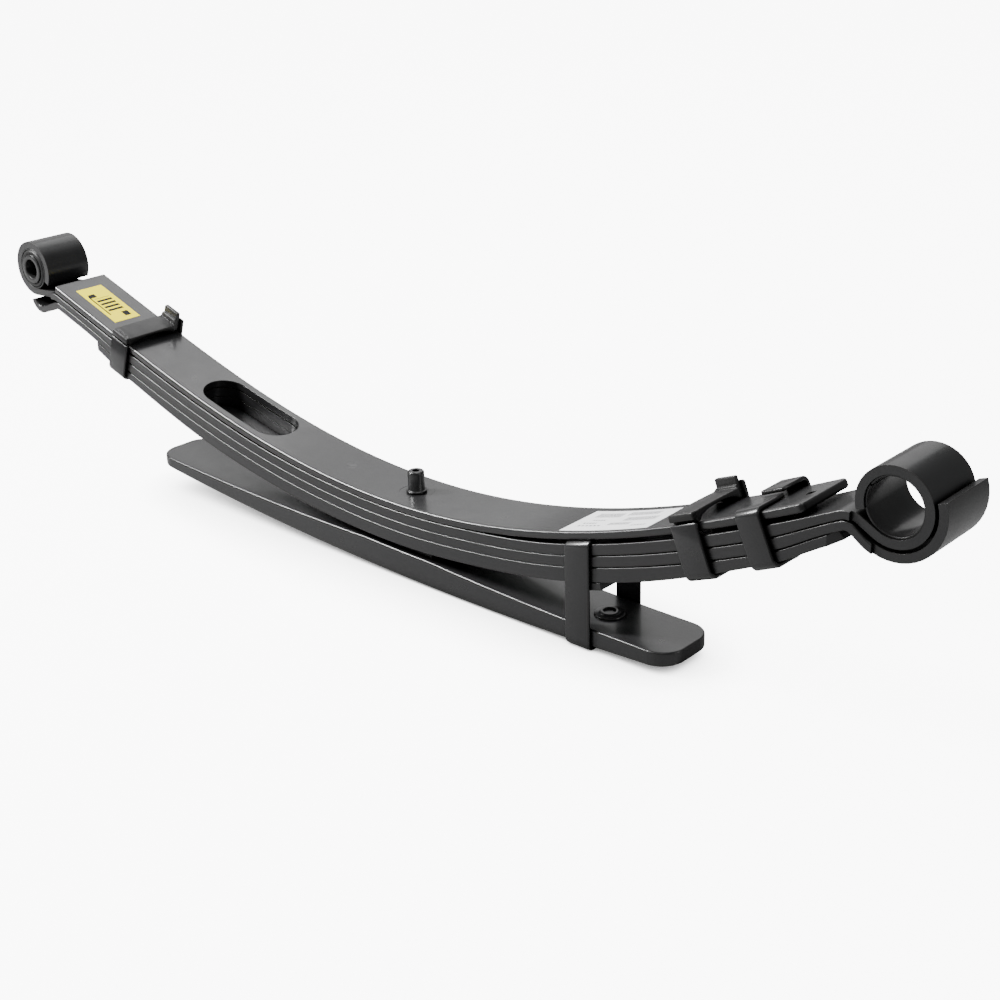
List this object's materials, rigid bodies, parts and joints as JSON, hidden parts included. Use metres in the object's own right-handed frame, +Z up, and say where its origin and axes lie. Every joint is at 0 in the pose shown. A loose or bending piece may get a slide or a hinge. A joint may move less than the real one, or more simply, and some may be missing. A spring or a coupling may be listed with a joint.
{
  "type": "leaf spring",
  "caption": "Cambered multi-leaf suspension spring with rolled end eyes, a rubber-bushed eye, riveted clips and a thick helper leaf under the pack.",
  "frame": {"origin": "centre bolt axis at the top face of the top leaf", "axes": "+X along the spring towards the open front eye, +Y across the leaves, +Z up, away from the helper leaf"},
  "size_m": [1.0892, 0.0714, 0.2255],
  "materials": {
    "black_leaf_paint": "semi-gloss black paint",
    "black_clip_paint": "satin black paint",
    "bore_steel": "dark painted steel",
    "plain_steel": "plain steel nut",
    "bush_rubber": "matte black rubber",
    "black_moulding": "matte black moulded pad",
    "yellow_label": "smooth yellow paper label",
    "white_label": "smooth white paper label"
  },
  "bodies": {
    "spring": {"centre_bolt": "black_clip_paint", "centre_bolt_nut": "plain_steel", "centre_spacer": "black_clip_paint", "clip_rivets": "black_clip_paint", "front_eye_liner": "bore_steel", "helper_clip_pad": "black_moulding", "helper_clip_rivet": "black_clip_paint", "helper_clip_strap": "black_clip_paint", "helper_leaf": "black_leaf_paint", "inner_clip_pad": "black_moulding", "inner_clip_strap": "black_clip_paint", "lower_leaf": "black_leaf_paint", "lower_wear_pad_front": "black_moulding", "lower_wear_pad_rear": "black_moulding", "main_leaf": "black_leaf_paint", "maker_label": "yellow_label", "middle_wear_pad_front": "black_moulding", "middle_wear_pad_rear": "black_moulding", "outer_clip_strap": "black_clip_paint", "part_label": "white_label", "rear_bush_rubber": "bush_rubber", "rear_bush_shell": "bore_steel", "rear_clip_pad": "black_moulding", "rear_clip_strap": "black_clip_paint", "top_leaf": "black_leaf_paint", "top_wear_pad_front": "black_moulding", "top_wear_pad_rear": "black_moulding", "wrap_leaf": "black_leaf_paint"},
    "bush_sleeve": {"rear_bush_sleeve": "bore_steel"}
  },
  "joints": [
    {"name": "rear_bush_twist", "type": "hinge", "parent": "spring", "child": "bush_sleeve", "pos_m": [-0.5371, 0, 0.1248], "axis": [0, 1, 0], "range_deg": [-20, 20], "stiffness_Nm_per_rad": 45}
  ]
}
